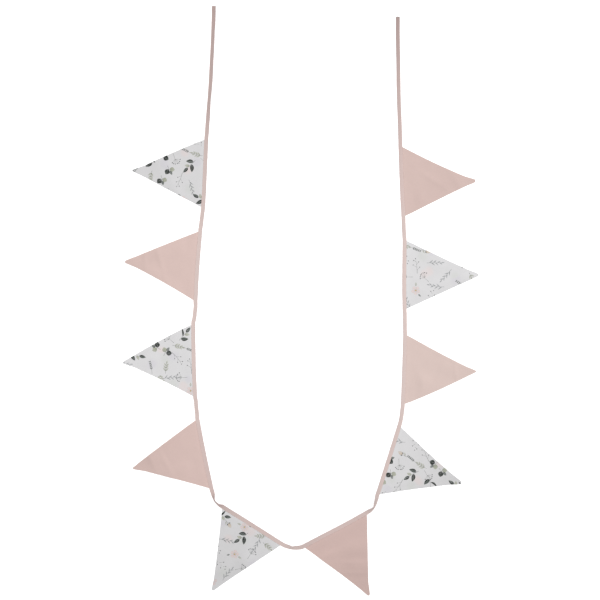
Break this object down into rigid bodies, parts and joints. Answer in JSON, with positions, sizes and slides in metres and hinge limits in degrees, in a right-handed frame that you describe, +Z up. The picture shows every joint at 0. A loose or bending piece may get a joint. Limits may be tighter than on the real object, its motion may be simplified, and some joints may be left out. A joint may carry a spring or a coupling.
{
  "type": "fabric bunting",
  "caption": "Triangular cotton pennants, leaf-printed and plain in turn, sewn into one long folded binding that ends in two free ties, laid out flat in a U.",
  "frame": {"origin": "middle of the layout's box, on the plane that the cloth lies on", "axes": "+Z up out of the cloth, +Y towards the two free ties, +X to the right as seen from above"},
  "size_m": [0.8883, 1.4719, 0.0092],
  "materials": {
    "binding": "matt dusty pink cotton bias binding, folded lengthwise and edge-stitched",
    "plain_cotton": "matt dusty pink plain-weave cotton, two layers turned right side out",
    "printed_cotton": null
  },
  "bodies": {
    "root": {"binding": "binding", "pennant_01": "printed_cotton", "pennant_02": "plain_cotton", "pennant_03": "printed_cotton", "pennant_04": "plain_cotton", "pennant_05": "printed_cotton", "pennant_06": "plain_cotton", "pennant_07": "printed_cotton", "pennant_08": "plain_cotton", "pennant_09": "printed_cotton", "pennant_10": "plain_cotton"}
  },
  "joints": []
}
